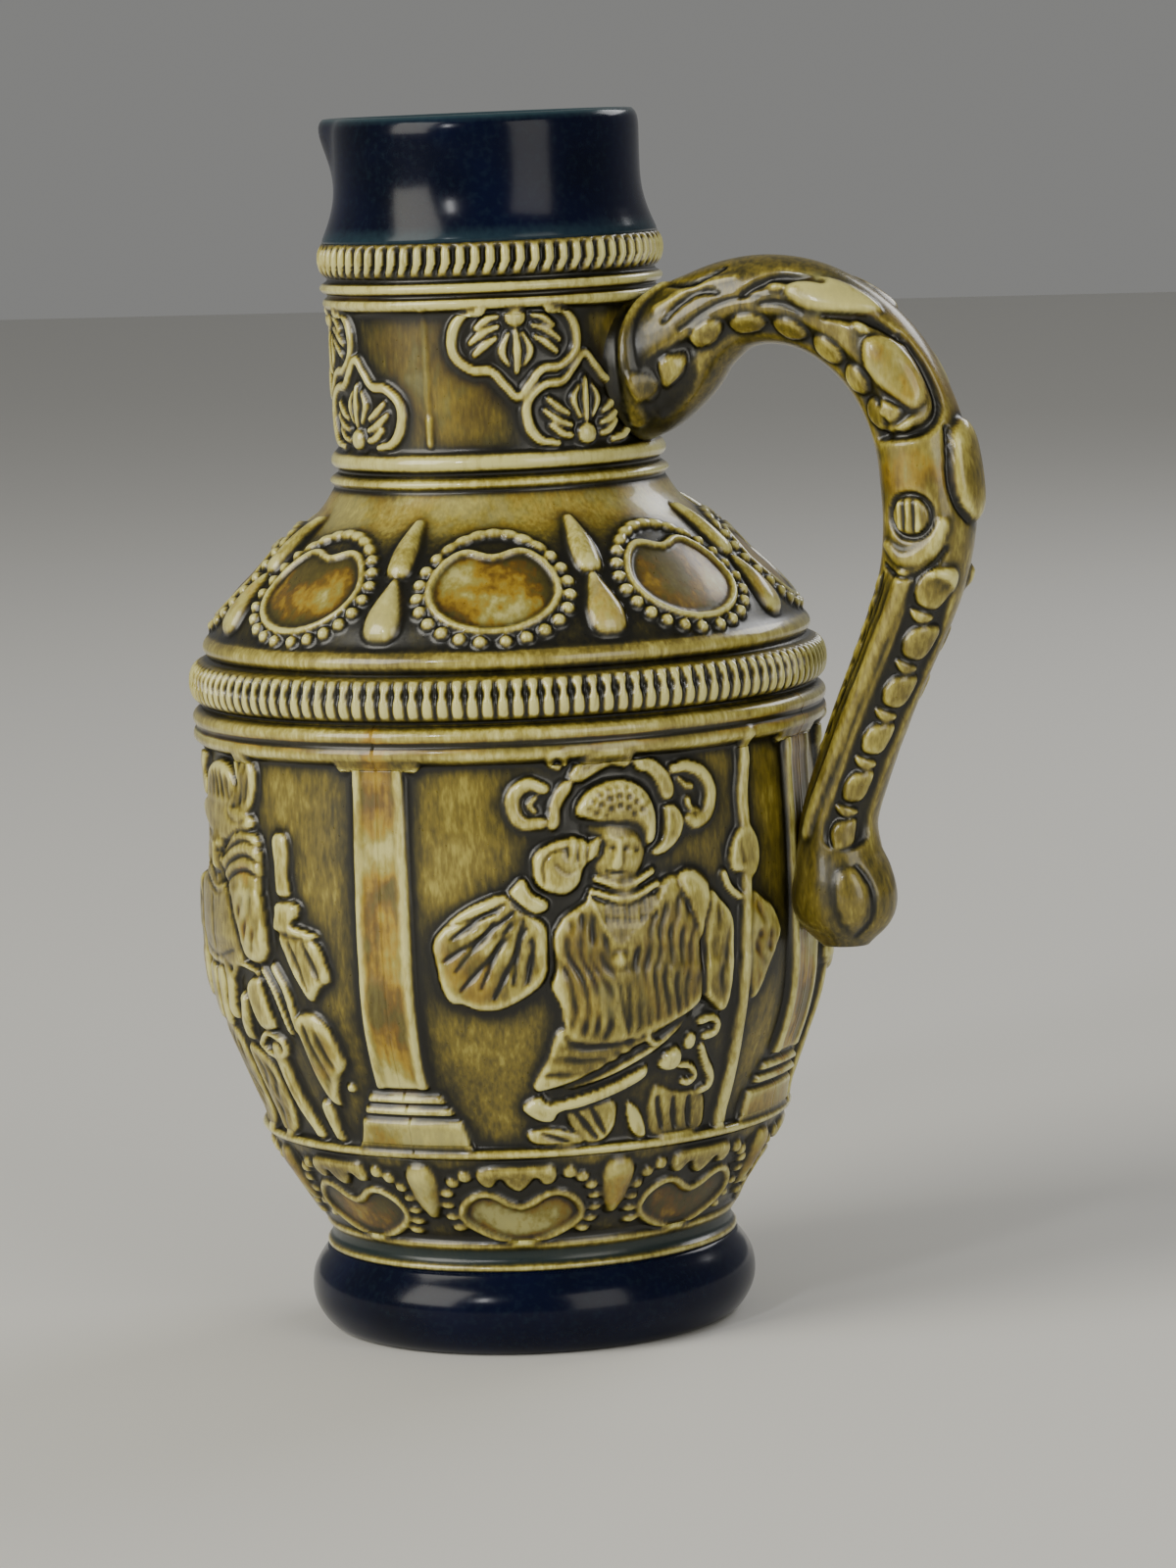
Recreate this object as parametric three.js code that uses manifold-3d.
import * as THREE from 'three';
import { LoftGeometry } from 'three/addons/geometries/LoftGeometry.js';
import { mergeVertices } from 'three/addons/utils/BufferGeometryUtils.js';
import Module from 'manifold-3d';

// A relief jug of glazed ceramic, cast hollow, with a looped handle and a small pouring lip.
// Millimetres, +Z up. The origin is the middle of the standing ring's plane.
// The handle leaves towards +X and the jug pours towards -X.

// Heights of the bands, stacked from the standing surface to the rim
const footHeight = 15;
const footBandHeight = 4.8;
const baseBandHeight = 16.2;
const ledgeHeight = 1.5;
const friezeHeight = 66.5;
const mouldingHeight = 5.6;
const ropeHeight = 8.6;
const shoulderBandHeight = 3.8;
const shoulderHeight = 24.8;
const neckFootHeight = 6.2;
const neckHeight = 24.2;
const neckBandHeight = 5.8;
const neckRopeHeight = 6;
const collarHeight = 21;

// Outside radii of the bands
const footRadius = 38.9;
const waistRadius = 35.3;
const baseTopRadius = 45.2;
const friezeFootRadius = 45.4;
const bellyRadius = 53.4;
const friezeTopInset = 0.7;
const mouldingProud = 1.7;
const ropeProud = 2.1;
const shoulderInset = 1.2;
const neckRadius = 27.6;
const neckFootRadius = 29;
const neckBandRadius = 29.4;
const neckRopeRadius = 30;
const collarRadius = 26.4;

// The hollow inside, the underside and the pouring lip
const bellyWall = 4.6;
const neckWall = 4.2;
const floorThickness = 5.2;
const undersideRecess = 1;
const standingRingWidth = 4.5;
const lipRounding = 1.2;
const spoutReach = 4.6;
const spoutHalfAngle = THREE.MathUtils.degToRad(34);
const spoutHeight = 15;

// Ornament: how many, how proud and how wide
const ribCount = 136;
const neckRibCount = 72;
const ribDepth = 0.9;
const columnCount = 4;
const columnWidth = 10;
const columnRelief = 1.7;
const figureRelief = 2.1;
const heartCount = 8;
const heartWidth = 22;
const baseHeartWidth = 23;
const notchDepth = 2;
const edgeWidth = 1.8;
const edgeRelief = 1.3;
const dropWidth = 5.2;
const dropRelief = 1.5;
const palmetteSpread = THREE.MathUtils.degToRad(12.86);

// The handle: its reach from the axis, its thickness, and where it leaves and meets the jug
const handleReach = 79;
const handleThickness = 15;
const handleWidth = 15.4;
const handleRise = 10.5;
const handleRootHeight = 25;
const handleRootWidth = 22;
const handleDrop = 18;
const knobRadius = 9.3;
const knobWidth = 13.5;
const bossHeight = 15;
const bossRelief = 2.4;
const medallionRadius = 5.2;

// How finely the round shapes are cut
const columnsRound = 28;
const hollowColumnsRound = 16;
const sunkDepth = 1.1;

// Heights worked out from the stack
const baseFoot = footHeight + footBandHeight;
const baseTop = baseFoot + baseBandHeight;
const friezeFoot = baseTop + ledgeHeight;
const friezeTop = friezeFoot + friezeHeight;
const ropeFoot = friezeTop + mouldingHeight;
const ropeTop = ropeFoot + ropeHeight;
const shoulderFoot = ropeTop + shoulderBandHeight;
const shoulderTop = shoulderFoot + shoulderHeight;
const neckFoot = shoulderTop + neckFootHeight;
const neckTop = neckFoot + neckHeight;
const neckBandTop = neckTop + neckBandHeight;
const neckRopeTop = neckBandTop + neckRopeHeight;
const rimHeight = neckRopeTop + collarHeight;

// Radii worked out from the belly's
const friezeTopRadius = bellyRadius - friezeTopInset;
const mouldingRadius = bellyRadius + mouldingProud;
const ropeRadius = bellyRadius + ropeProud;
const shoulderRadius = bellyRadius - shoulderInset;

const fullTurn = Math.PI * 2;

const wasm = await Module();
wasm.setup();

// A closed three.js geometry as a solid that can be joined and cut
function solidOf(geometry) {
  const bare = new THREE.BufferGeometry();
  bare.setAttribute('position', geometry.attributes.position);
  bare.setIndex(geometry.index);
  const merged = mergeVertices(bare, 1e-4);
  return new wasm.Manifold(new wasm.Mesh({
    numProp: 3,
    vertProperties: new Float32Array(merged.attributes.position.array),
    triVerts: new Uint32Array(merged.index.array),
  }));
}

// The solid back as a three.js geometry
function geometryOf(solid) {
  const mesh = solid.getMesh();
  const geometry = new THREE.BufferGeometry();
  geometry.setAttribute('position', new THREE.BufferAttribute(mesh.vertProperties, 3));
  geometry.setIndex(new THREE.BufferAttribute(mesh.triVerts, 1));
  geometry.computeVertexNormals();
  return geometry;
}

// A point at an angle round the axis
function around(angle, radius, height) {
  return new THREE.Vector3(radius * Math.cos(angle), radius * Math.sin(angle), height);
}

// The belly's outside, a swelling curve from the frieze's foot to its top
function bellyAt(height) {
  const share = THREE.MathUtils.clamp((height - friezeFoot) / friezeHeight, 0, 1);
  const swell = 0.5 - 0.5 * Math.cos(Math.PI * Math.min(1, share * 1.95) ** 0.9);
  const drawIn = friezeTopInset * Math.max(0, share * 2 - 1) ** 2;
  return friezeFootRadius + (bellyRadius - friezeFootRadius) * swell - drawIn;
}

// The shoulder's outside, an ogee from the shoulder band up to the neck
const shoulderCurve = new THREE.CubicBezierCurve(
  new THREE.Vector2(shoulderRadius - shoulderHeight * 0.05, shoulderFoot),
  new THREE.Vector2(shoulderRadius - shoulderHeight * 0.21, shoulderFoot + shoulderHeight * 0.28),
  new THREE.Vector2(neckFootRadius + shoulderHeight * 0.25, shoulderTop - shoulderHeight * 0.27),
  new THREE.Vector2(neckFootRadius, shoulderTop),
);

// The outside of the jug from the standing ring to the lip, as points of radius and height
function outsideProfile() {
  const foot = new THREE.EllipseCurve(
    waistRadius, footHeight / 2, footRadius - waistRadius, footHeight / 2, -Math.PI / 2, Math.PI / 2,
  );
  const frieze = [0, 0.16, 0.32, 0.5, 1];
  const baseMiddleRadius = THREE.MathUtils.lerp(waistRadius, baseTopRadius, 0.48);
  return [
    ...foot.getPoints(4),
    new THREE.Vector2(waistRadius, baseFoot - 1),
    new THREE.Vector2(waistRadius + 0.4, baseFoot),
    new THREE.Vector2(baseMiddleRadius, baseFoot + baseBandHeight * 0.46),
    new THREE.Vector2(baseTopRadius, baseTop),
    new THREE.Vector2(baseTopRadius + 1.2, baseTop + ledgeHeight * 0.5),
    ...frieze.map((share) => {
      const height = friezeFoot + friezeHeight * share;
      return new THREE.Vector2(bellyAt(height), height);
    }),
    new THREE.Vector2(mouldingRadius - 0.4, friezeTop + mouldingHeight * 0.22),
    new THREE.Vector2(mouldingRadius, friezeTop + mouldingHeight * 0.8),
    new THREE.Vector2(mouldingRadius - 1.8, ropeFoot + 0.6),
    new THREE.Vector2(ropeRadius - 1.2, ropeFoot + ropeHeight * 0.24),
  ];
}

// The outside above the rope ring: shoulder, neck and collar
function upperProfile() {
  return [
    new THREE.Vector2(ropeRadius - 1.2, ropeFoot + ropeHeight * 0.78),
    new THREE.Vector2(shoulderRadius - 0.4, ropeTop + 0.3),
    new THREE.Vector2(shoulderRadius, shoulderFoot - 0.6),
    ...shoulderCurve.getPoints(4),
    new THREE.Vector2(neckFootRadius, shoulderTop + 1.6),
    new THREE.Vector2(neckFootRadius - 0.9, shoulderTop + 2.6),
    new THREE.Vector2(neckFootRadius - 0.2, neckFoot - 1),
    new THREE.Vector2(neckRadius, neckFoot + 0.4),
    new THREE.Vector2(neckRadius, neckTop),
    new THREE.Vector2(neckBandRadius, neckTop + 0.9),
    new THREE.Vector2(neckBandRadius, neckTop + neckBandHeight * 0.64),
    new THREE.Vector2(neckBandRadius - 1, neckBandTop - 0.4),
  ];
}

// The collar from the neck's rope ring to the top of the lip
function collarProfile() {
  return [
    new THREE.Vector2(neckRopeRadius - 1.6, neckRopeTop - 0.4),
    new THREE.Vector2(collarRadius + 1, neckRopeTop + 2.6),
    new THREE.Vector2(collarRadius, neckRopeTop + 6),
    new THREE.Vector2(collarRadius, rimHeight - lipRounding * 2),
    new THREE.Vector2(collarRadius - lipRounding, rimHeight),
  ];
}

// The hollow's wall from the lip down to the floor, thinner in the neck than in the belly
function insideProfile() {
  const mouth = collarRadius - neckWall;
  const neck = neckRadius - neckWall;
  const belly = [0.6, 0.24];
  return [
    new THREE.Vector2(mouth + lipRounding * 0.6, rimHeight),
    new THREE.Vector2(mouth, rimHeight - lipRounding * 1.5),
    new THREE.Vector2(neck, neckTop),
    new THREE.Vector2(neck, neckFoot),
    new THREE.Vector2(neck + 3, shoulderTop - 5),
    new THREE.Vector2(shoulderRadius - bellyWall - 5, shoulderFoot + 2),
    new THREE.Vector2(shoulderRadius - bellyWall, ropeFoot + 1),
    ...belly.map((share) => {
      const height = friezeFoot + friezeHeight * share;
      return new THREE.Vector2(bellyAt(height) - bellyWall, height);
    }),
    new THREE.Vector2(baseTopRadius - bellyWall - 1, baseTop - 3),
    new THREE.Vector2(waistRadius - bellyWall, baseFoot),
    new THREE.Vector2(waistRadius - bellyWall - 0.5, footHeight / 2),
    new THREE.Vector2(waistRadius - bellyWall - 4, undersideRecess + floorThickness),
  ];
}

// How far the lip is drawn out into the pouring spout
function spoutAt(angle, height) {
  const turn = Math.abs(Math.PI - Math.abs(angle > Math.PI ? angle - fullTurn : angle));
  if (turn > spoutHalfAngle) {
    return 0;
  }
  const rise = THREE.MathUtils.smoothstep(height, rimHeight - spoutHeight, rimHeight);
  return spoutReach * rise * (0.5 + 0.5 * Math.cos(Math.PI * turn / spoutHalfAngle));
}

// One ring of the wall
function plainRing(point, count) {
  return Array.from({ length: count }, (_, column) => {
    const angle = column / count * fullTurn;
    return around(angle, point.x + spoutAt(angle, point.y), point.y);
  });
}

// The crest of a rope moulding: ribs and the pits between them
function ribbedRing(radius, height, ribs) {
  return Array.from({ length: ribs * 2 }, (_, step) => {
    const angle = step / (ribs * 2) * fullTurn;
    return around(angle, step % 2 ? radius - ribDepth : radius, height);
  });
}

// Skins a closed surface over rings of points, where two neighbours may differ in number
function skinRings(rings) {
  const positions = [];
  const triangles = [];
  const starts = [];
  for (const ring of rings) {
    starts.push(positions.length / 3);
    for (const point of ring) {
      positions.push(point.x, point.y, point.z);
    }
  }
  for (let row = 0; row + 1 < rings.length; row += 1) {
    const low = rings[row].length;
    const high = rings[row + 1].length;
    const lowSteps = low > 1 ? low : 0;
    const highSteps = high > 1 ? high : 0;
    let lowStep = 0;
    let highStep = 0;
    while (lowStep < lowSteps || highStep < highSteps) {
      const lowPoint = starts[row] + lowStep % low;
      const highPoint = starts[row + 1] + highStep % high;
      const lowIsBehind = highStep >= highSteps || (lowStep + 0.5) / low <= (highStep + 0.5) / high;
      if (lowStep < lowSteps && lowIsBehind) {
        triangles.push(lowPoint, starts[row] + (lowStep + 1) % low, highPoint);
        lowStep += 1;
      } else {
        triangles.push(lowPoint, starts[row + 1] + (highStep + 1) % high, highPoint);
        highStep += 1;
      }
    }
  }
  const geometry = new THREE.BufferGeometry();
  geometry.setAttribute('position', new THREE.Float32BufferAttribute(positions, 3));
  geometry.setIndex(triangles);
  return geometry;
}

// The vessel: one closed wall, from the underside up the outside, over the lip and down to the floor
function vessel() {
  const ringInside = waistRadius - standingRingWidth;
  const outer = (points) => points.map((point) => plainRing(point, columnsRound));
  const inner = insideProfile().map((point) => plainRing(point, hollowColumnsRound));
  return skinRings([
    [new THREE.Vector3(0, 0, undersideRecess)],
    plainRing(new THREE.Vector2(ringInside - 1, undersideRecess), hollowColumnsRound),
    plainRing(new THREE.Vector2(ringInside, 0), columnsRound),
    ...outer(outsideProfile()),
    ribbedRing(ropeRadius, ropeFoot + ropeHeight * 0.51, ribCount),
    ...outer(upperProfile()),
    ribbedRing(neckRopeRadius, neckBandTop + neckRopeHeight * 0.5, neckRibCount),
    ...outer(collarProfile()),
    ...inner,
    [new THREE.Vector3(0, 0, undersideRecess + floorThickness)],
  ]);
}

const wholeOutside = [...outsideProfile(), ...upperProfile(), ...collarProfile()];

// The outside radius at a height, read off the same profile that the wall is made from
function radiusAt(height) {
  for (let row = 1; row < wholeOutside.length; row += 1) {
    const above = wholeOutside[row];
    if (above.y >= height) {
      const below = wholeOutside[row - 1];
      const share = (height - below.y) / Math.max(above.y - below.y, 1e-6);
      return THREE.MathUtils.lerp(below.x, above.x, share);
    }
  }
  return collarRadius;
}

// A point of a drawing laid on the outside: across is measured along the arc at the drawing's own
// radius, and lift is measured straight out of the wall
function onWall(drawing, across, height, lift) {
  const slope = (radiusAt(height + 1) - radiusAt(height - 1)) / 2;
  const steep = Math.hypot(1, slope);
  const angle = drawing.angle + across / drawing.radius;
  const radius = radiusAt(height) + lift / steep;
  return around(angle, radius, height - lift * slope / steep);
}

// The middle of an outline
function middleOf(outline) {
  const sum = outline.reduce((total, [across, height]) => [total[0] + across, total[1] + height], [0, 0]);
  return [sum[0] / outline.length, sum[1] / outline.length];
}

// A raised form with slanting sides, given by its outline, anticlockwise from outside.
// It has a flat crown where crown is more than 0, and comes to a point where it is 0.
function pad(drawing, outline, relief, crown = 0.66, lean = [0, 0]) {
  const [midAcross, midHeight] = middleOf(outline);
  const level = (share, lift) => outline.map(([across, height]) => onWall(
    drawing,
    midAcross + (across - midAcross) * share,
    midHeight + (height - midHeight) * share,
    lift,
  ));
  if (crown > 0) {
    return solidOf(new LoftGeometry(
      [level(1, -sunkDepth), level(crown, relief)],
      { capStart: true, capEnd: true },
    ));
  }
  return solidOf(skinRings([
    [onWall(drawing, midAcross, midHeight, -sunkDepth)],
    level(1, -sunkDepth),
    [onWall(drawing, midAcross + lean[0], midHeight + lean[1], relief)],
  ]));
}

// A raised line along a path, with a sharp crest
function ridge(drawing, path, width, relief) {
  const last = path.length - 1;
  const sections = path.map(([across, height], place) => {
    const before = path[Math.max(place - 1, 0)];
    const after = path[Math.min(place + 1, last)];
    const along = Math.hypot(after[0] - before[0], after[1] - before[1]);
    const sideAcross = (after[1] - before[1]) / along * width / 2;
    const sideHeight = (before[0] - after[0]) / along * width / 2;
    return [
      onWall(drawing, across - sideAcross * 1.8, height - sideHeight * 1.8, -sunkDepth),
      onWall(drawing, across, height, relief),
      onWall(drawing, across + sideAcross * 1.8, height + sideHeight * 1.8, -sunkDepth),
    ];
  });
  return solidOf(new LoftGeometry(sections, { capStart: true, capEnd: true }));
}

// A tear drop, anticlockwise from its top: widest near the top, or near the foot where it stands
function drop(drawing, top, length, width, relief, stands = false) {
  const wide = stands ? 0.74 : 0.26;
  const narrow = 1 - wide;
  const outline = [
    [0, top],
    [-width * (stands ? 0.24 : 0.46), top - length * Math.min(wide, narrow)],
    [-width * (stands ? 0.46 : 0.24), top - length * Math.max(wide, narrow)],
    [0, top - length],
    [width * (stands ? 0.46 : 0.24), top - length * Math.max(wide, narrow)],
    [width * (stands ? 0.24 : 0.46), top - length * Math.min(wide, narrow)],
  ];
  return pad(drawing, outline, relief, 0, [0, length * (stands ? -0.12 : 0.12)]);
}

// The outline of a broad, round heart with a shallow notch at the top
function heartPath(width, foot, height, notch) {
  const turns = [90, 130, 175, 225, 270, 315, 5, 50];
  return turns.map((degrees) => {
    const turn = THREE.MathUtils.degToRad(degrees);
    const dip = degrees === 90 ? notch : 0;
    return [Math.cos(turn) * width / 2, foot + height / 2 + Math.sin(turn) * height / 2 - dip];
  });
}

// Eight hearts on the shoulder, with a pair of stacked drops between each two
function shoulderOrnament() {
  const pieces = [];
  const shoulderDrawing = radiusAt(shoulderFoot + shoulderHeight * 0.35);
  for (let count = 0; count < heartCount; count += 1) {
    const middle = { angle: (count + 0.5) / heartCount * fullTurn, radius: shoulderDrawing };
    const between = { angle: count / heartCount * fullTurn, radius: shoulderDrawing };
    const foot = shoulderFoot + shoulderHeight * 0.15;
    const heart = heartPath(heartWidth, foot, shoulderHeight * 0.52, notchDepth);
    pieces.push(pad(middle, heart, edgeRelief, 0.84));
    const [upperTop, lowerTop] = [0.82, 0.45].map((share) => shoulderFoot + shoulderHeight * share);
    pieces.push(drop(between, upperTop, shoulderHeight * 0.36, dropWidth, dropRelief));
    pieces.push(drop(between, lowerTop, shoulderHeight * 0.38, dropWidth, dropRelief, true));
  }
  return pieces;
}

// Eight hearts on the base band, with hanging drops between
function baseOrnament() {
  const pieces = [];
  const baseDrawing = radiusAt(baseFoot + baseBandHeight * 0.6);
  for (let count = 0; count < heartCount; count += 1) {
    const middle = { angle: (count + 0.5) / heartCount * fullTurn, radius: baseDrawing };
    const between = { angle: count / heartCount * fullTurn, radius: baseDrawing };
    const foot = baseFoot + baseBandHeight * 0.04;
    const heart = heartPath(baseHeartWidth, foot, baseBandHeight * 0.66, notchDepth);
    pieces.push(pad(middle, heart, edgeRelief, 0.84));
    pieces.push(drop(between, baseTop - 1, baseBandHeight * 0.62, dropWidth, dropRelief));
  }
  return pieces;
}

// A lobed frame with a bud and three leaves, on the neck: one of each pair hangs, the other stands
function neckPalmette(angle, upright) {
  const drawing = { angle, radius: neckRadius };
  const turned = upright ? -1 : 1;
  const middle = upright ? neckFoot + neckHeight * 0.34 : neckTop - neckHeight * 0.34;
  const at = ([across, rise]) => [across * turned, middle + rise * turned];
  const halfFrame = [[7, 7], [10.6, 2], [7.4, -3], [0, -8]];
  const frame = [...halfFrame, ...halfFrame.slice(0, -1).reverse().map(([across, rise]) => [-across, rise])];
  const leafHalf = [[2, 5.4], [7.6, 3.4], [7.2, -0.4], [2.6, 1.6]];
  const leaf = (side) => leafHalf.map(([across, rise]) => [across * side, rise]);
  const tulip = [[0, 4], [-2.6, -1], [0, -3.6], [2.6, -1]];
  const bud = [[0, 8.4], [-2, 6.2], [0, 4.2], [2, 6.2]];
  return [
    ridge(drawing, frame.map(at), edgeWidth, edgeRelief),
    pad(drawing, bud.map(at), edgeRelief, 0),
    pad(drawing, tulip.map(at), edgeRelief, 0),
    pad(drawing, leaf(-1).map(at), edgeRelief, 0),
    pad(drawing, leaf(1).reverse().map(at), edgeRelief, 0),
  ];
}

// Four pairs of palmettes round the neck
function neckOrnament() {
  const pieces = [];
  for (let count = 0; count < columnCount; count += 1) {
    const middle = (count + 0.5) / columnCount * fullTurn;
    pieces.push(...neckPalmette(middle - palmetteSpread, false));
    pieces.push(...neckPalmette(middle + palmetteSpread, true));
  }
  return pieces;
}

// A column on a stepped plinth, with a small capital and a groove down its face
function column(angle) {
  const drawing = { angle, radius: bellyRadius };
  const foot = friezeFoot + friezeHeight * 0.17;
  const top = friezeTop - friezeHeight * 0.015;
  const plinthTop = friezeFoot + friezeHeight * 0.09;
  const stepFoot = friezeFoot + friezeHeight * 0.1;
  const half = columnWidth / 2;
  const heights = [0, 0.36, 1].map((share) => THREE.MathUtils.lerp(foot, top, share));
  const shaft = heights.map((height) => [
    onWall(drawing, -half - 0.5, height, -sunkDepth),
    onWall(drawing, -half, height, columnRelief),
    onWall(drawing, 0, height, columnRelief * 0.4),
    onWall(drawing, half, height, columnRelief),
    onWall(drawing, half + 0.5, height, -sunkDepth),
  ]);
  const block = (low, high, halfFoot, halfTop, relief) => pad(drawing, [
    [-halfFoot, low],
    [halfFoot, low],
    [halfTop, high],
    [-halfTop, high],
  ], relief, 0.9);
  return [
    solidOf(new LoftGeometry(shaft, { capStart: true, capEnd: true })),
    block(friezeFoot, plinthTop, columnWidth * 1.25, columnWidth * 1.05, columnRelief),
    block(stepFoot, foot + 1.2, columnWidth * 0.9, columnWidth * 0.74, columnRelief * 1.2),
    block(top - 1.8, friezeTop - 0.2, columnWidth * 0.62, columnWidth * 0.76, columnRelief * 1.3),
  ];
}

// Draws a figure panel: heights and widths are hundredths of the frieze's height
function panelPens(angle) {
  const drawing = { angle, radius: bellyRadius };
  const unit = friezeHeight / 100;
  const place = ([across, height]) => [across * unit, friezeFoot + height * unit];
  return {
    form: (outline, relief = 1, crown = 0.7) => (
      pad(drawing, outline.map(place), figureRelief * relief, crown)
    ),
    line: (path, width, relief = 1) => ridge(drawing, path.map(place), width * unit, figureRelief * relief),
    egg: (across, height, halfAcross, halfHeight, relief = 1, sides = 6) => pad(
      drawing,
      Array.from({ length: sides }, (_, step) => {
        const turn = (step + 0.5) / sides * fullTurn;
        return place([across + halfAcross * Math.cos(turn), height + halfHeight * Math.sin(turn)]);
      }),
      figureRelief * relief,
      0,
    ),
  };
}

// The officer of two panels: plumed hat, raised fist, puffed sleeves, sword and long halberd
function officer(angle) {
  const { form, line, egg } = panelPens(angle);
  return [
    line([[36, 1], [35.6, 14], [35.5, 30], [37, 98.5]], 4.2, 0.9),
    egg(35, 72.5, 7, 8, 1.2),
    egg(-3.5, 77, 6.5, 9, 1.3),
    form([[-13, 86], [8, 77], [8, 90], [-6, 94]], 1.3),
    egg(-25.5, 88.5, 6.5, 6.5, 1.2, 5),
    egg(-16.5, 89, 4.4, 7.5, 1.3, 5),
    form([[-15, 92], [3, 94], [2, 98], [-10, 98.4]], 1.3),
    egg(9, 93, 7, 7, 1.4, 5),
    egg(11.5, 80, 5.6, 7.4, 1.3, 5),
    egg(21, 88, 8, 8, 1.2),
    egg(-15.5, 74, 9.6, 8.6, 1.6),
    form([[-31, 69], [-49, 56], [-46, 39], [-30, 37], [-21, 48]], 1.3, 0.6),
    form([[-20, 34], [17, 34], [20, 60], [14, 68], [-9, 66], [-20, 60]], 1.1, 0.7),
    form([[22, 33], [30, 38], [30, 58], [16, 67], [18, 48]], 1.3),
    form([[37, 34], [49, 48], [45, 60], [38, 61]], 1),
    form([[-24, 16], [8, 24], [12, 32], [-18, 31]], 0.9, 0.8),
    line([[-29, 12], [-8, 15], [8, 21]], 4.6, 1.2),
    egg(15, 23, 6, 5, 1.4, 5),
    form([[-28, 0], [-4, 0], [-2, 11], [-22, 11]], 1, 0.75),
    form([[3, 0], [27, 1], [27, 12], [5, 14]], 1, 0.75),
  ];
}

// The pikeman of the other two, half turned away: hat, broad sleeve, baton, tassets and sword
function pikeman(angle) {
  const { form, line, egg } = panelPens(angle);
  return [
    line([[-40, 1], [-39, 14], [-38, 40], [-38, 98.5]], 3.6, 0.8),
    egg(3, 77, 7, 9, 1.2),
    form([[-9, 86], [16, 80], [13, 92], [-6, 96]], 1.3),
    egg(-14, 92, 7, 6.5, 1.2, 5),
    egg(19, 92, 6, 6.5, 1.2, 5),
    form([[7, 64], [13, 48], [25, 48], [25, 72], [15, 78]], 1.3, 0.62),
    form([[-17, 46], [9, 46], [9, 66], [-14, 67]], 1.1, 0.72),
    form([[-36, 48], [-20, 40], [-16, 58], [-19, 70], [-31, 66]], 1.3, 0.6),
    line([[31, 64], [30, 80]], 4.6, 1),
    egg(32, 60, 6, 5.6, 1.4, 5),
    form([[38, 38], [44, 42], [40, 56], [31, 55]], 1.1, 0.7),
    form([[-14, 28], [-3, 28], [-3, 46], [-15, 46]], 1.1),
    form([[-1, 29], [9, 29], [10, 46], [-1, 46]], 1.2),
    form([[27, 22], [36, 12], [43, 24], [24, 46]], 1.1, 0.65),
    line([[13, 26], [20, 14], [30, 2]], 4.6, 1.1),
    form([[-24, 2], [-6, 1], [-4, 22], [-20, 24]], 1, 0.7),
    form([[-1, 1], [10, 1], [10, 16], [0, 22]], 1, 0.7),
  ];
}

// The frieze: four columns, and a soldier between each two
function friezeOrnament() {
  const pieces = [];
  for (let count = 0; count < columnCount; count += 1) {
    const soldier = count % 2 ? officer : pikeman;
    pieces.push(...column(count / columnCount * fullTurn));
    pieces.push(...soldier((count + 0.5) / columnCount * fullTurn));
  }
  return pieces;
}

// The handle's middle line in its own upright plane, from inside the neck wall over to the belly
function handleSpine() {
  const rootHeight = (neckFoot + neckTop) / 2 + 1;
  const crest = rootHeight + handleRise;
  const landing = friezeTop - handleDrop;
  const across = (share) => THREE.MathUtils.lerp(neckRadius, handleReach, share);
  const down = (share) => THREE.MathUtils.lerp(landing, crest, share);
  return [
    [neckRadius - 2.4, rootHeight - 0.4, handleRootHeight / 2, handleRootWidth / 2],
    [across(0.08), rootHeight + 1.4, handleRootHeight * 0.42, handleRootWidth * 0.43],
    [across(0.25), rootHeight + 6.6, handleThickness * 0.58, handleWidth * 0.52],
    [across(0.46), crest, handleThickness / 2, handleWidth / 2],
    [across(0.68), down(0.97), handleThickness / 2, handleWidth / 2],
    [across(0.85), down(0.89), handleThickness / 2, handleWidth / 2],
    [across(0.96), down(0.78), handleThickness / 2, handleWidth / 2],
    [across(1), down(0.63), handleThickness / 2, handleWidth / 2],
    [across(0.985), down(0.5), handleThickness / 2, handleWidth / 2],
    [across(0.91), down(0.38), handleThickness * 0.46, handleWidth * 0.48],
    [across(0.79), down(0.24), handleThickness * 0.44, handleWidth * 0.46],
    [bellyRadius + 9, down(0.1), handleThickness * 0.44, handleWidth * 0.45],
    [bellyRadius + 5.9, down(0), handleThickness * 0.5, handleWidth * 0.44],
    [bellyRadius + 5.9, landing - 7, handleThickness * 0.5, handleWidth * 0.4],
  ];
}

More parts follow.
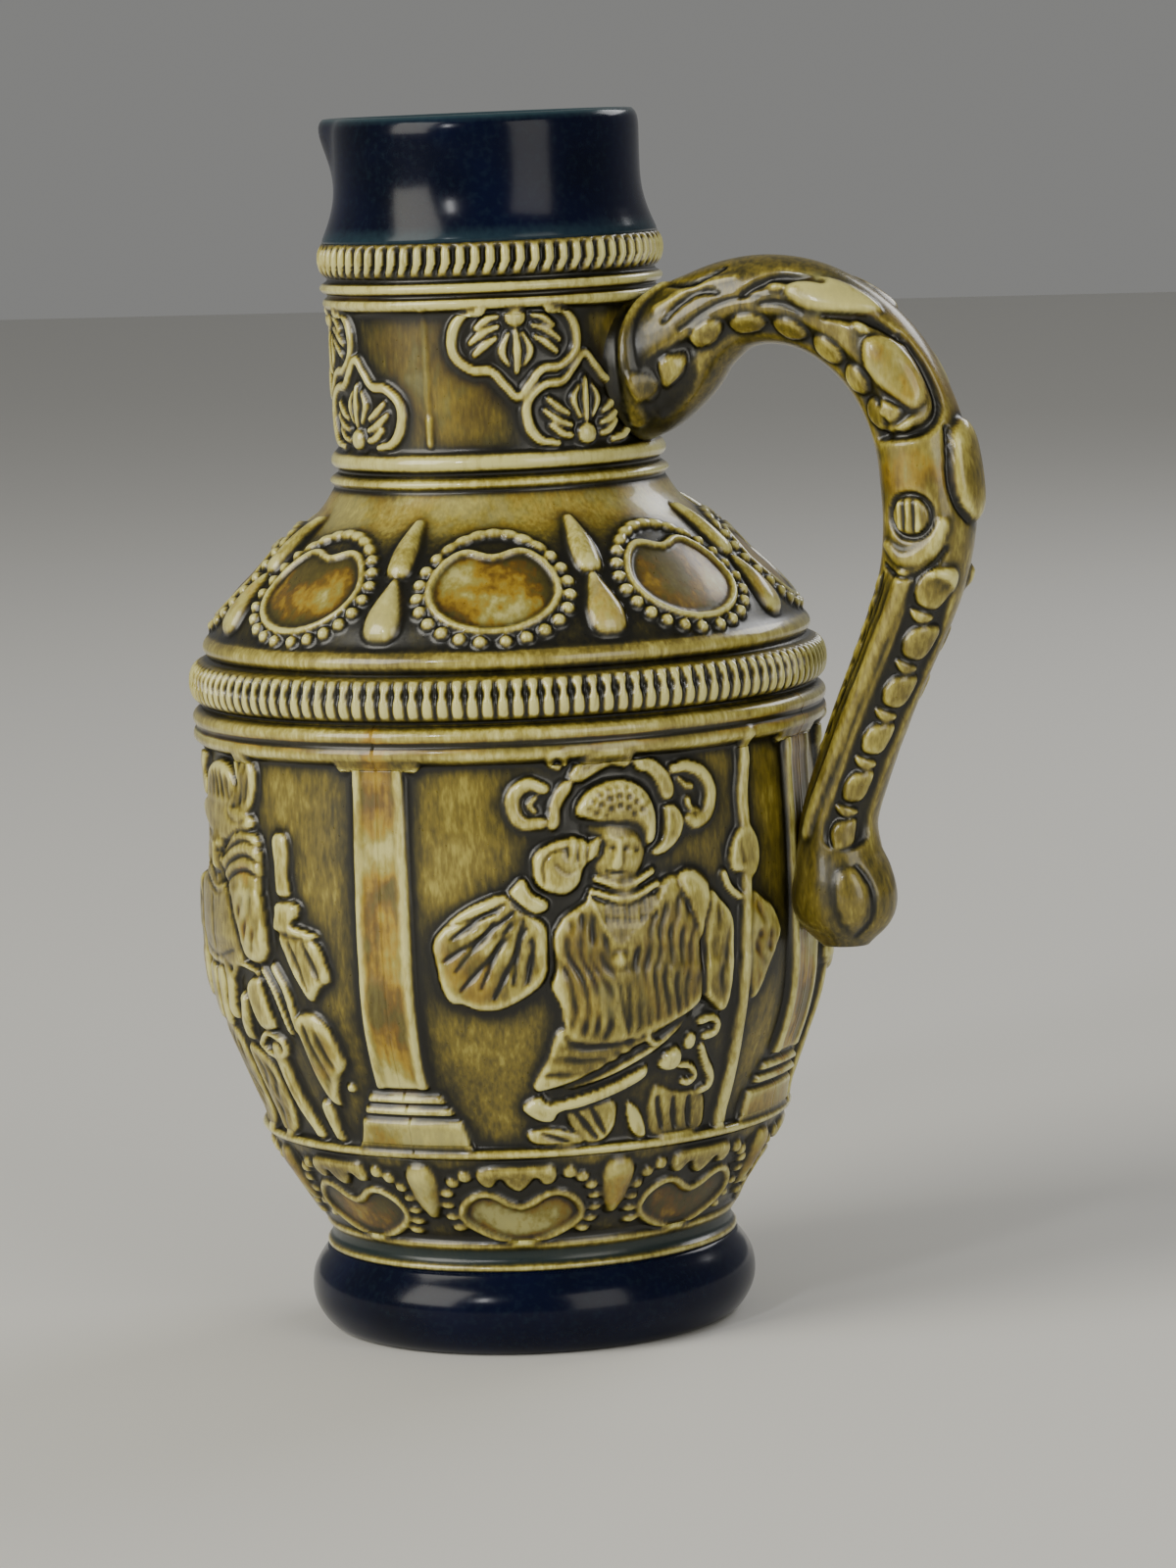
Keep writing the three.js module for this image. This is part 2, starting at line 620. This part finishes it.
// The handle: rounded sections strung along its spine, ending in a rolled knob against the belly
function handle() {
  const spine = handleSpine();
  const sides = 8;
  const sections = spine.map(([across, height, halfThick, halfWide], place) => {
    const before = spine[Math.max(place - 1, 0)];
    const after = spine[Math.min(place + 1, spine.length - 1)];
    const tangent = new THREE.Vector2(after[0] - before[0], after[1] - before[1]).normalize();
    return Array.from({ length: sides }, (_, side) => {
      const turn = side / sides * fullTurn;
      const out = Math.cos(turn) * halfThick;
      const aside = Math.sign(Math.sin(turn)) * Math.abs(Math.sin(turn)) ** 0.8 * halfWide;
      return new THREE.Vector3(across - tangent.y * out, -aside, height + tangent.x * out);
    });
  });
  const bar = new LoftGeometry(sections, { capStart: true, capEnd: true });
  const [knobAcross, knobHeight] = spine[spine.length - 1];
  const knob = new THREE.SphereGeometry(1, 8, 6);
  knob.scale(knobRadius, knobWidth / 2, knobRadius);
  knob.translate(knobAcross + 0.8, 0, knobHeight - 3.5);
  const [bossAcross, bossMiddle] = spine[7];
  const boss = new THREE.SphereGeometry(1, 6, 4);
  boss.scale(bossRelief + 2, handleWidth * 0.36, bossHeight / 2);
  boss.translate(bossAcross + handleThickness / 2 - 2, 0, bossMiddle);
  const pieces = [solidOf(bar), solidOf(knob), solidOf(boss)];
  for (const side of [-1, 1]) {
    const medallion = new THREE.CylinderGeometry(medallionRadius * 0.8, medallionRadius, 2, 8);
    medallion.rotateX(side > 0 ? 0 : Math.PI);
    medallion.translate(spine[8][0] - 1, side * (handleWidth / 2 - 0.3), spine[8][1] + 3);
    pieces.push(solidOf(medallion));
  }
  return pieces;
}

// The hollow as a solid of its own, which trims whatever would reach into it through the wall
function hollow() {
  const above = new THREE.Vector2(collarRadius - neckWall + lipRounding * 0.6, rimHeight + 5);
  return solidOf(skinRings([
    [new THREE.Vector3(0, 0, undersideRecess + floorThickness)],
    ...insideProfile().reverse().map((point) => plainRing(point, hollowColumnsRound)),
    plainRing(above, hollowColumnsRound),
    [new THREE.Vector3(0, 0, rimHeight + 5)],
  ]));
}

function jug() {
  const raised = [
    ...friezeOrnament(),
    ...shoulderOrnament(),
    ...baseOrnament(),
    ...neckOrnament(),
    ...handle(),
  ];
  const added = wasm.Manifold.union(raised).subtract(hollow());
  return solidOf(vessel()).add(added);
}

const glaze = new THREE.MeshStandardMaterial({ color: 0x8a7440, roughness: 0.25, metalness: 0 });
const jugMesh = new THREE.Mesh(geometryOf(jug()), glaze);
jugMesh.name = 'jug';

const model = new THREE.Group();
model.add(jugMesh);

export default model;
